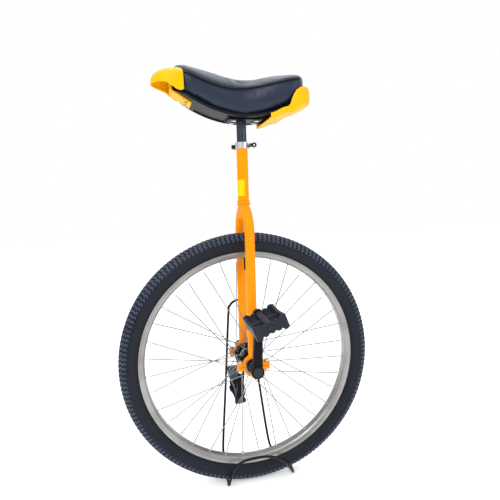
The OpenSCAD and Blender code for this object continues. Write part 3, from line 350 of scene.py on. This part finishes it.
finishes = {
    "tyre": tyreMat, "inner_tube": butyl, "rim_tape": redRubber, "rim": rimMetal, "spokes": spokeMetal,
    "nipples": nippleMetal, "valve": blackRubber, "hub_shell": hubMetal, "hub_flanges": flangeBlack,
    "axle": axleMetal, "bearing_inner_left": bearingMetal, "bearing_inner_right": bearingMetal,
    "bearing_outer_left": bearingMetal, "bearing_outer_right": bearingMetal, "bearing_balls": bearingMetal,
    "bearing_shields": blackRubber, "crank_left": blackPaint, "crank_right": blackPaint,
    "crank_bolts": boltMetal, "crank_caps": glossBlack, "pedal_spindle_left": blackPaint,
    "pedal_spindle_right": blackPaint, "pedal_body_left": blackNylon, "pedal_body_right": blackNylon,
    "pedal_bushes_left": blackNylon, "pedal_bushes_right": blackNylon, "pedal_cap_left": glossBlack,
    "pedal_cap_right": glossBlack, "seat_tube": frameOrange, "crown_ring": frameOrange,
    "fork_leg_left": frameOrange, "fork_leg_right": frameOrange, "bearing_cap_left": frameOrange,
    "bearing_cap_right": frameOrange, "cap_bolts": boltMetal, "cap_nuts": boltMetal,
    "frame_label": labelVinyl, "seat_clamp": clampMetal, "clamp_skewer": axleMetal,
    "clamp_lever": clampMetal, "lever_eye": glossBlack, "clamp_nut": glossBlack, "seat_post": postPaint,
    "post_plug": blackNylon, "seat_plate": blackPaint, "seat_base": blackPanPlastic,
    "seat_cushion": vinyl, "seat_piping": blackRubber, "front_handle": trimYellow,
    "rear_bumper": trimYellow, "seat_bolts": boltMetal, "seat_nuts": boltMetal, "trim_screws": boltMetal,
    "parking_stand": dippedBlack}
for name, finish in finishes.items():
    slots = nodes[name].data.materials
    for k in range(max(1, len(slots))):
        if k < len(slots):
            slots[k] = finish
        else:
            slots.append(finish)
print("materials on", len(finishes), "nodes")


def repeater(name, shape):  # a tree that sets one shape along a path, turned to face away from a centre
    tree = bpy.data.node_groups.new(name, "GeometryNodeTree")
    face = tree.interface
    for title, kind in (("Geometry", "Geometry"), ("Count", "Int"), ("Size", "Vector"), ("Turn", "Vector"),
                        ("Centre", "Vector"), ("Uneven", "Float"), ("Seed", "Int"), ("Material", "Material")):
        face.new_socket(title, in_out="INPUT", socket_type="NodeSocket" + kind)
    face.new_socket("Geometry", in_out="OUTPUT", socket_type="NodeSocketGeometry")
    given = tree.nodes.new("NodeGroupInput").outputs
    line = add(tree, "GeometryNodeMeshToCurve", Mesh=given["Geometry"])
    spots = add(tree, "GeometryNodeCurveToPoints", {"mode": "COUNT"}, Curve=line.outputs["Curve"],
                Count=given["Count"])
    here = add(tree, "GeometryNodeInputPosition")
    away = add(tree, "ShaderNodeVectorMath", {"operation": "SUBTRACT"}, _0=here.outputs["Position"],
               _1=given["Centre"])
    axes = add(tree, "FunctionNodeAxesToRotation", {"primary_axis": "Z", "secondary_axis": "X"},
               Primary_Axis=spots.outputs["Tangent"], Secondary_Axis=away.outputs["Vector"])
    if shape == "block":
        made = add(tree, "GeometryNodeMeshCube", Size=given["Size"]).outputs["Mesh"]
    else:
        ball = add(tree, "GeometryNodeMeshUVSphere", Segments=10, Rings=6, Radius=1.0)
        sized = add(tree, "GeometryNodeTransform", Geometry=ball.outputs["Mesh"], Scale=given["Size"])
        made = sized.outputs["Geometry"]
    placed = add(tree, "GeometryNodeTransform", Geometry=made, Rotation=given["Turn"])
    low = add(tree, "ShaderNodeMath", {"operation": "SUBTRACT"}, _0=1.0, _1=given["Uneven"])
    high = add(tree, "ShaderNodeMath", {"operation": "ADD"}, _0=1.0, _1=given["Uneven"])
    spread = add(tree, "FunctionNodeRandomValue", {"data_type": "FLOAT"}, _2=low.outputs["Value"],
                 _3=high.outputs["Value"], _8=given["Seed"])
    copies = add(tree, "GeometryNodeInstanceOnPoints", Points=spots.outputs["Points"],
                 Instance=placed.outputs["Geometry"], Rotation=axes.outputs["Rotation"], Scale=spread.outputs[1])
    whole = add(tree, "GeometryNodeRealizeInstances", Geometry=copies.outputs["Instances"])
    dressed = add(tree, "GeometryNodeSetMaterial", Geometry=whole.outputs["Geometry"], Material=given["Material"])
    add(tree, "NodeGroupOutput", Geometry=dressed.outputs["Geometry"])
    return tree


def repeated(name, tree, path, closed, finish, **values):  # sizes in millimetres
    mesh = bpy.data.meshes.new(name)
    edges = [(k, k + 1) for k in range(len(path) - 1)] + ([(len(path) - 1, 0)] if closed else [])
    mesh.from_pydata([[c * mm for c in p] for p in path], edges, [])
    piece = bpy.data.objects.new(name, mesh)
    bpy.context.scene.collection.objects.link(piece)
    m = piece.modifiers.new("repeat", "NODES")
    m.node_group = tree
    values["Material"] = finish
    for item in tree.interface.items_tree:
        if item.in_out == "INPUT" and item.name in values:
            value = values[item.name]
            if item.name in ("Size", "Centre"):
                value = [c * mm for c in value]
            m[item.identifier] = value
    return bake(piece)


def ringPath(radius, offset, hub, steps=180):
    return [(radius * math.cos(2 * math.pi * k / steps), offset, hub + radius * math.sin(2 * math.pi * k / steps))
            for k in range(steps)]


blockRow = repeater("blockRow", "block")
beadRow = repeater("beadRow", "bead")


def tyreOutline():
    outer = []
    for k in range(-57, 58):
        f = k * 2.5
        r = tyre["sectionRadius"]
        if abs(f) < tyre["treadAngle"]:
            r = tyre["treadBase"]
        elif abs(f) < tyre["treadAngle"] + 4:
            r = tyre["sectionRadius"] - 0.5
        for at, high in tyre["lines"]:
            if abs(abs(f) - at) < 1.3:
                r += high
        outer.append((tyre["middle"] + r * math.cos(math.radians(f)), r * math.sin(math.radians(f))))
    r = tyre["insideRadius"]
    inner = [(tyre["middle"] + r * math.cos(math.radians(f)), r * math.sin(math.radians(f)))
             for f in range(135, -136, -10)]
    return outer + tyre["foot"] + inner + [(r, -y) for r, y in reversed(tyre["foot"])]


casing = makePiece("casing", *spun(tyreOutline(), tyre["steps"], hubZ), tyreMat, 35)
parts = [casing]
for place, length, width, slant in tyre["rows"]:
    for side in (-1, 1):
        a = math.radians(place * side)
        r = tyre["middle"] + tyre["blockSeat"] * math.cos(a)
        y = tyre["blockSeat"] * math.sin(a)
        parts.append(repeated("row", blockRow, ringPath(r, y, hubZ), True, tyreMat, Count=tyre["blocks"],
                              Size=(tyre["blockDepth"], width, length), Turn=(math.radians(slant * side), 0, a),
                              Centre=(0, y, hubZ), Uneven=0.0, Seed=3))
tyrePiece = joined("tyreTread", parts, tyreMat, 35)
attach(tyrePiece, "wheel")
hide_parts("tyre")
print("tyre", len(tyrePiece.data.polygons), "faces")

# saddle: the same outline as the CAD solid, rounder
saddle = {"front": -153.3, "back": 142.7, "low": 8, "edgeLow": -15, "padLow": 860.2, "topLow": 935, "edgeHeight": 914,
          "bottomRise": (62, 41), "edgeRise": ((42, 2), (25, 2.6)), "ridgeRise": ((45, 3.2), (23, 5.4)),
          "width": 142, "waist": -20, "noseShare": 0.36, "flare": 0.14, "shrink": 1.6, "inset": 0.3,
          "voxel": 5, "pressure": 3.5, "cap": 7, "creaseDepth": 1.7, "fineDepth": 0.5,
          "creases": [(-92, 38, 1), (60, 40, 0.2)],  # place, spread and share of the depth
          "cordRadius": 2.1, "seamFrom": -128, "seamLength": 246, "stitchGap": 5.2, "stitchRows": (4.6, -4.2)}


def rise(u, k):  # from 0 to 1, flat at first and then nearly straight
    return (math.sqrt(1 + (k * u) ** 2) - 1) / (math.sqrt(1 + k * k) - 1)


def far(x, low):  # share of the way from the lowest point to the end
    return (low - x) / (low - saddle["front"]) if x < low else (x - low) / (saddle["back"] - low)


def padBottom(x):
    low = saddle["low"]
    return saddle["padLow"] + saddle["bottomRise"][x >= low] * far(x, low) ** 2


def padEdge(x):
    low = saddle["edgeLow"]
    high, bend = saddle["edgeRise"][x >= low]
    return saddle["edgeHeight"] + high * rise(far(x, low), bend)


def padRidge(x):
    low = saddle["low"]
    high, bend = saddle["ridgeRise"][x >= low]
    return saddle["topLow"] + high * rise(far(x, low), bend)


def endFall(x, reach, least, power):  # how the two ends round off
    d = min(x - saddle["front"], saddle["back"] - x)
    return math.sqrt(max(least, 1 - (1 - max(d, 0) / reach) ** power)) if d < reach else 1


def halfWidth(x):
    along = x - saddle["waist"]
    if along < 0:
        share = saddle["noseShare"] + 0.012 * (-along / 130) ** 1.5
    else:
        share = saddle["noseShare"] + saddle["flare"] * math.sin(math.radians(min(90, along * 0.72))) ** 2
    return saddle["width"] * share * endFall(x, 46, 0.05, 2.4)


def padPoint(x, angle):  # a point of the padding, angle 0 at its right edge and 90 on top
    c, s = math.cos(angle), math.sin(angle)
    w, edge = halfWidth(x) - saddle["shrink"], padEdge(x)
    if s > 0:
        top = edge + (padRidge(x) - edge) * endFall(x, 30, 0.02, 2.2)
        return (x, w * c, edge + (top - saddle["shrink"] - edge) * s ** 0.8)
    bottom = padBottom(x) + saddle["shrink"]
    return (x, w * math.copysign(abs(c) ** 0.28, c) * (1 - 0.05 * s * s), edge + (edge - bottom) * -(-s) ** 0.5)


def swell(piece, voxel, pressure, cap):  # blow the padding up like foam under a tight cover
    m = modifier(piece, "REMESH", mode="VOXEL", voxel_size=voxel * mm)
    bake(piece)
    start = [v.co.copy() for v in piece.data.vertices]
    cloth = modifier(piece, "CLOTH")
    cloth.settings.use_pressure = True
    cloth.settings.uniform_pressure_force = pressure
    cloth.settings.effector_weights.gravity = 0
    cloth.settings.tension_stiffness = cloth.settings.compression_stiffness = 25
    cloth.settings.quality = 6
    scene = bpy.context.scene
    cloth.point_cache.frame_start, cloth.point_cache.frame_end = 1, 20
    for k in range(1, 21):
        scene.frame_set(k)
    bake(piece)
    scene.frame_set(1)
    for v, old in zip(piece.data.vertices, start):
        move = v.co - old
        if move.length > cap * mm:
            v.co = old + move.normalized() * cap * mm


rows, across = 61, 56
start, length = saddle["front"] + saddle["inset"], saddle["back"] - saddle["front"] - 2 * saddle["inset"]
points = []
for a in range(rows):
    x = start + length * (1 - math.cos(math.pi * a / (rows - 1))) / 2
    points += [padPoint(x, 2 * math.pi * b / across) for b in range(across)]
faces = gridFaces(rows, across, False, True) + tubeEnds(rows, across)
cushion = makePiece("saddleCushion", points, faces, None, 60)
swell(cushion, saddle["voxel"], saddle["pressure"], saddle["cap"])
modifier(cushion, "SMOOTH", factor=0.5, iterations=3)
modifier(cushion, "SUBSURF", levels=1, render_levels=1)
bake(cushion)
mesh = cushion.data
normals = [Vector(n.vector) for n in mesh.vertex_normals]
for v, n in zip(mesh.vertices, normals):  # pull creases in the side cover, deepest behind the handle
    x, y, z = v.co / mm
    side = min(1, max(0, abs(n.y) - 0.45) * 2.5) * min(1, max(0, (padEdge(x) - 5 - z) / 12))
    share = sum(part * math.exp(-((x - at) / spread) ** 2) for at, spread, part in saddle["creases"])
    wave = noise.noise(Vector((x * 0.085 + z * 0.045, y * 0.02, z * 0.012 - x * 0.01 + (7 if y > 0 else 0))))
    fine = noise.noise(Vector((x * 0.2 + z * 0.1, z * 0.03, 3 + y * 0.02)))
    v.co += n * (side * share * (saddle["creaseDepth"] * (0.25 - abs(wave)) * 2 + saddle["fineDepth"] * fine)) * mm
    keep = padBottom(x) - 0.1
    if v.co.z / mm < keep:
        v.co.z = keep * mm
smoothShade(mesh, 70)
mesh.materials.clear()
mesh.materials.append(vinyl)
print("cushion", len(mesh.polygons), "faces")

cover = bvhtree.BVHTree.FromObject(cushion, bpy.context.evaluated_depsgraph_get())
seam = []
for side in (-1, 1):
    line = []
    for k in range(61):
        x = saddle["seamFrom"] + saddle["seamLength"] * k / 60
        hit = cover.ray_cast(Vector((x * mm, side * 0.2, padEdge(x) * mm)), Vector((0, -side, 0)))[0]
        if hit:
            line.append((x, hit.y / mm + side * 0.9, padEdge(x)))
    seam.append(line)
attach(cushion, "saddle")
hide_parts("seat_cushion")

parts = []
for side, line in zip((-1, 1), seam):
    cord = swept(smoothPath(line, 3), saddle["cordRadius"], 12)
    parts.append(makePiece("cord", *cord, blackRubber, 60))
    for drop in saddle["stitchRows"]:  # a row of thread on either side of the cord
        thread = []
        for x, y, z in line:
            hit = cover.ray_cast(Vector((x * mm, side * 0.2, (z - drop) * mm)), Vector((0, -side, 0)))[0]
            if hit:
                thread.append((x, hit.y / mm + side * 0.15, z - drop))
        length = sum((Vector(a) - Vector(b)).length for a, b in zip(thread, thread[1:]))
        parts.append(repeated("thread", beadRow, thread, False, blackRubber,
                              Count=int(length / saddle["stitchGap"]), Size=(0.55, 0.55, 1.7), Turn=(0, 0, 0),
                              Centre=(0, 0, 700), Uneven=0.08, Seed=5))
piping = joined("saddlePiping", parts, blackRubber, 60)
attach(piping, "saddle")
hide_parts("seat_piping")
print("piping and thread", len(piping.data.polygons), "faces")

# front handle: a domed hood, open below, and a tongue that runs under the pan
hood = {"centre": -139.5, "wall": 3.2, "turn": 101, "stretch": 1.13, "skirt": 51.9, "lip": 52.6,
        "dome": [(6, 961), (15, 961.2), (22, 960.6), (29, 959.2), (35.5, 957), (41, 953.8), (45.5, 950), (49, 945.2),
                 (51.2, 939.6), (52, 933)],  # radius, height
        "rim": [(0, 931), (20, 931), (40, 930.5), (55, 928.5), (64, 926), (76, 918), (86, 911), (93, 909),
                (101, 911)],  # angle from the front, height
        "tongue": [(-156, 950), (-156.2, 930), (-154.8, 914), (-140, 904.4), (-126, 895), (-113, 886.8)],
        "tongueWall": 3.6, "tongueHalf": 25}


def between(table, u):  # value of a table at u, eased between its entries
    for (a, va), (b, vb) in zip(table, table[1:]):
        if u <= b:
            t = (u - a) / (b - a)
            t = t * t * (3 - 2 * t)
            return va + (vb - va) * t
    return table[-1][1]


points = []
turns, low = 73, 7
for k in range(turns):
    a = math.radians(hood["turn"] * (2 * k / (turns - 1) - 1))
    foot = between(hood["rim"], abs(math.degrees(a)))
    side = hood["dome"][-1][1]
    row = hood["dome"] + [(hood["skirt"], side + (foot - side) * j / low) for j in range(1, low + 1)]
    row.append((hood["lip"], foot - 0.8))
    stretch = hood["stretch"] if math.cos(a) > 0 else 1
    points += [(hood["centre"] - r * math.cos(a) * stretch, r * math.sin(a), z) for r, z in row]
shell = makePiece("shell", points, gridFaces(turns, len(row)), trimYellow, 60)
bm = bmesh.new()  # the hood is open, so its faces are turned outwards by hand
bm.from_mesh(shell.data)
bm.normal_update()
if sum(f.normal.dot(f.calc_center_median() - Vector((hood["centre"] * mm, 0, 0.92))) for f in bm.faces) < 0:
    bmesh.ops.reverse_faces(bm, faces=bm.faces)
bm.to_mesh(shell.data)
bm.free()
modifier(shell, "SOLIDIFY", thickness=hood["wall"] * mm, offset=-1)
modifier(shell, "SUBSURF", levels=1, render_levels=1)
bake(shell)


def strap(path, thick, half):  # a bent plate from a side view, as a closed band
    pts = smoothPath([(x, 0, z) for x, z in path], 6)
    points = []
    for k, p in enumerate(pts):
        t = (pts[min(k + 1, len(pts) - 1)] - pts[max(k - 1, 0)]).normalized()
        n = Vector((-t.z, 0, t.x)) * thick / 2
        points += [p + n + Vector((0, half, 0)), p + n - Vector((0, half, 0)), p - n - Vector((0, half, 0)),
                   p - n + Vector((0, half, 0))]
    return points, gridFaces(len(pts), 4, False, True) + tubeEnds(len(pts), 4)


tongue = makePiece("tongue", *strap(hood["tongue"], hood["tongueWall"], hood["tongueHalf"]), trimYellow, 40)
handle = joined("handleHood", [shell, tongue], trimYellow, 55)
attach(handle, "saddle")
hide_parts("front_handle")

# rear bumper: one section carried round the back of the padding, and a sole that closes it under the pan
bumper = {"centre": 100, "length": 53, "width": 75.5, "wing": 52, "wingGap": 4.6, "squareness": 0.8, "bulge": 1.6,
          "low": [(50, 848.5), (94, 861), (134, 878), (154, 884)],
          "top": [(50, 860), (88, 872.5), (94, 877), (98, 889), (103, 900), (111, 909), (120, 914), (130, 916.5),
                  (154, 917)],
          "soleStep": 3.1, "soleRows": 30, "soleInset": 9}
outline = []
for k in range(25):
    x = bumper["wing"] + (bumper["centre"] - bumper["wing"]) * k / 24
    outline.append((x, halfWidth(x) + bumper["wingGap"]))
for k in range(1, 49):
    a = math.pi / 2 * k / 48
    outline.append((bumper["centre"] + bumper["length"] * math.sin(a) ** bumper["squareness"],
                    bumper["width"] * math.cos(a) ** bumper["squareness"]))
outline = [(x, -y) for x, y in outline] + [(x, y) for x, y in reversed(outline[:-1])]
points = []
for k, (x, y) in enumerate(outline):
    a, b = outline[max(k - 1, 0)], outline[min(k + 1, len(outline) - 1)]
    n = Vector((b[1] - a[1], a[0] - b[0], 0)).normalized()
    zLow, zTop = between(bumper["low"], x), between(bumper["top"], x)
    tall = zTop - zLow
    bulge = bumper["bulge"] * min(1, tall / 35)
    section = [(-15, zLow + 3.4), (-15, zLow + 0.4), (-6, zLow - 0.6), (-2, zLow), (-0.4, zLow + 2),
               (bulge * 0.6, zLow + tall * 0.25), (bulge, zLow + tall * 0.5), (bulge * 0.6, zLow + tall * 0.75),
               (-0.6, zTop - 2), (-1.8, zTop - 0.3), (-3.2, zTop), (-4.4, zTop - 1.2), (-3.4, zLow + tall * 0.5),
               (-4, zLow + 5)]  # outwards from the outline, height
    points += [(x + n.x * o, y + n.y * o, z) for o, z in section]
count, corner = len(outline), len(section)
wrap = makePiece("wrap", points, gridFaces(count, corner, False, True) + tubeEnds(count, corner), trimYellow, 45)
points = []
for k in range(bumper["soleRows"]):
    x = bumper["wing"] + bumper["soleStep"] * k
    u = max(0, (x - bumper["centre"]) / bumper["length"])
    w = halfWidth(x) + bumper["wingGap"] if u == 0 else bumper["width"] * (1 - u ** 2.5) ** 0.4
    w -= bumper["soleInset"]
    z = between(bumper["low"], x)
    points += [(x, w * (j / 4 - 1), z + 0.6) for j in range(9)] + [(x, w * (1 - j / 4), z + 3.2) for j in range(9)]
faces = gridFaces(bumper["soleRows"], 18, False, True) + tubeEnds(bumper["soleRows"], 18)
sole = makePiece("sole", points, faces, trimYellow, 45)
cup = joined("bumperCup", [wrap, sole], trimYellow, 45)
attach(cup, "saddle")
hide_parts("rear_bumper")
print("handle and bumper", len(handle.data.polygons), len(cup.data.polygons), "faces")

# parking stand: one bent rod dipped in black plastic
stand = {"radius": 3, "tallY": 72.55,
         "path": [(-61, 6, 3), (-61, -14, 3), (-61, -24, 5), (-47, -35, 49.5), (-31, -40, 65.3), (-9, -42, 71),
                  (23, -42, 72), (49, -39, 64.5), (67, -34, 51), (92, -24, 27), (101, -14, 5), (101, 0, 3),
                  (97, 20, 3), (91, 42, 3), (86, 64.55, 8), (79, 72.55, 20), (63, 72.55, 44), (40, 72.55, 215),
                  (22, 72.55, 344), (12, 72.55, 420), (-2, 72.55, 427), (-18, 72.55, 424), (-28, 72.55, 414),
                  (-33, 72.55, 393), (-46, 72.55, 215), (-58, 72.55, 58), (-58, 70.55, 24), (-60, 60.55, 5),
                  (-61, 46.55, 3), (-61, 24, 3), (-61, 7, 3)]}
line = [(p.x, p.y, max(p.z, stand["radius"])) for p in smoothPath(stand["path"], 8)]
rod = makePiece("standRod", *swept(line, stand["radius"], 20), dippedBlack, 60)
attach(rod, "stand")
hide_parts("parking_stand")
print("stand", len(rod.data.polygons), "faces")

# weld beads under and over the ring where the legs meet the seat tube
crown = corners("crown_ring")
bead = {"size": (1.3, 1.5, 1.5), "turn": (0.5, 0, 0),
        "rings": [(14.6, crown[0].z + 0.4, 44), (13.4, crown[1].z, 40)]}  # radius, height, beads
welds = []
for radius, z, count in bead["rings"]:
    path = [(radius * math.cos(math.radians(6 * k)), radius * math.sin(math.radians(6 * k)), z) for k in range(60)]
    welds.append(repeated("weld", beadRow, path, True, frameOrange, Count=count, Size=bead["size"],
                          Turn=bead["turn"], Centre=(0, 0, z), Uneven=0.1, Seed=11))
weld = joined("crownWelds", welds, frameOrange, 60)
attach(weld, "frame")
print("welds", len(weld.data.polygons), "faces")

# camera, lights and floor
shot = {"azimuth": -11.76, "elevation": 5.57, "roll": -1.77, "distance": 1.0173, "height": 0.5646,
        "lens": 31.3704, "sensor": 36, "shiftX": 0.010, "shiftY": -0.004}


def placeCamera():
    a, e, r = (math.radians(shot[k]) for k in ("azimuth", "elevation", "roll"))
    back = Vector((math.sin(a) * math.cos(e), -math.cos(a) * math.cos(e), math.sin(e)))
    right = (-back).cross(Vector((0, 0, 1))).normalized()
    up = right.cross(-back)
    across = right * math.cos(r) + up * math.sin(r)
    upward = up * math.cos(r) - right * math.sin(r)
    data = bpy.data.cameras.new("camera")
    data.sensor_width = shot["sensor"]
    data.lens = shot["lens"]
    data.shift_x, data.shift_y = shot["shiftX"], shot["shiftY"]
    data.clip_start = 0.05
    camera = bpy.data.objects.new("camera", data)
    turn = Matrix((across, upward, back)).transposed().to_4x4()
    camera.matrix_world = Matrix.Translation(Vector((0, 0, shot["height"])) + back * shot["distance"]) @ turn
    bpy.context.scene.collection.objects.link(camera)
    bpy.context.scene.camera = camera


def softLight(name, spot, aim, size, power, tint=(1, 1, 1)):
    data = bpy.data.lights.new(name, "AREA")
    data.shape, data.size, data.size_y, data.energy, data.color = "RECTANGLE", size[0], size[1], power, tint
    light = bpy.data.objects.new(name, data)
    light.location = spot
    light.rotation_euler = (Vector(aim) - Vector(spot)).to_track_quat("-Z", "Y").to_euler()
    bpy.context.scene.collection.objects.link(light)


placeCamera()
softLight("keyPanel", (-1.3, -1.5, 2.1), (0, 0, 0.5), (1.4, 1.1), 24)
softLight("fillPanel", (1.7, -1.6, 1.0), (0, 0, 0.5), (1.2, 1.6), 9, (0.93, 0.97, 1))
softLight("topPanel", (0.2, 0.4, 2.4), (0, 0, 0.6), (1.6, 1.6), 15, (0.95, 0.98, 1))
world = bpy.data.worlds.new("studio")
world.use_nodes = True
world.node_tree.nodes["Background"].inputs["Color"].default_value = (1, 1, 1, 1)
eye = add(world.node_tree, "ShaderNodeLightPath")
heading = add(world.node_tree, "ShaderNodeSeparateXYZ",
              Vector=add(world.node_tree, "ShaderNodeTexCoord").outputs["Generated"])
sky = add(world.node_tree, "ShaderNodeMapRange", Value=heading.outputs["Z"], From_Min=-0.1, From_Max=0.8,
          To_Min=0.44, To_Max=1.1)
level = add(world.node_tree, "ShaderNodeMapRange", Value=eye.outputs["Is Camera Ray"], To_Min=sky.outputs["Result"],
            To_Max=1.0)
world.node_tree.links.new(level.outputs["Result"], world.node_tree.nodes["Background"].inputs["Strength"])
bpy.context.scene.world = world
bpy.context.scene.view_settings.view_transform = "Standard"

floorMat, floorTree, floorPlace = blank("palePaintedFloor")
dust = add(floorTree, "ShaderNodeTexNoise", Vector=floorPlace, Scale=6, Detail=3)
close(floorTree, add(floorTree, "ShaderNodeBsdfPrincipled", Roughness=0.6,
                     Base_Color=ramp(floorTree, dust.outputs["Fac"], [(0.3, "#F8F9FA"), (0.7, "#FDFDFE")]),
                     Emission_Color=(1, 1, 1, 1), Emission_Strength=0.3))
floor = makePiece("floor", [(-9, -9, 0), (9, -9, 0), (9, 9, 0), (-9, 9, 0)], [(0, 1, 2, 3)], floorMat, scale=1)
print("camera, lights and floor placed")
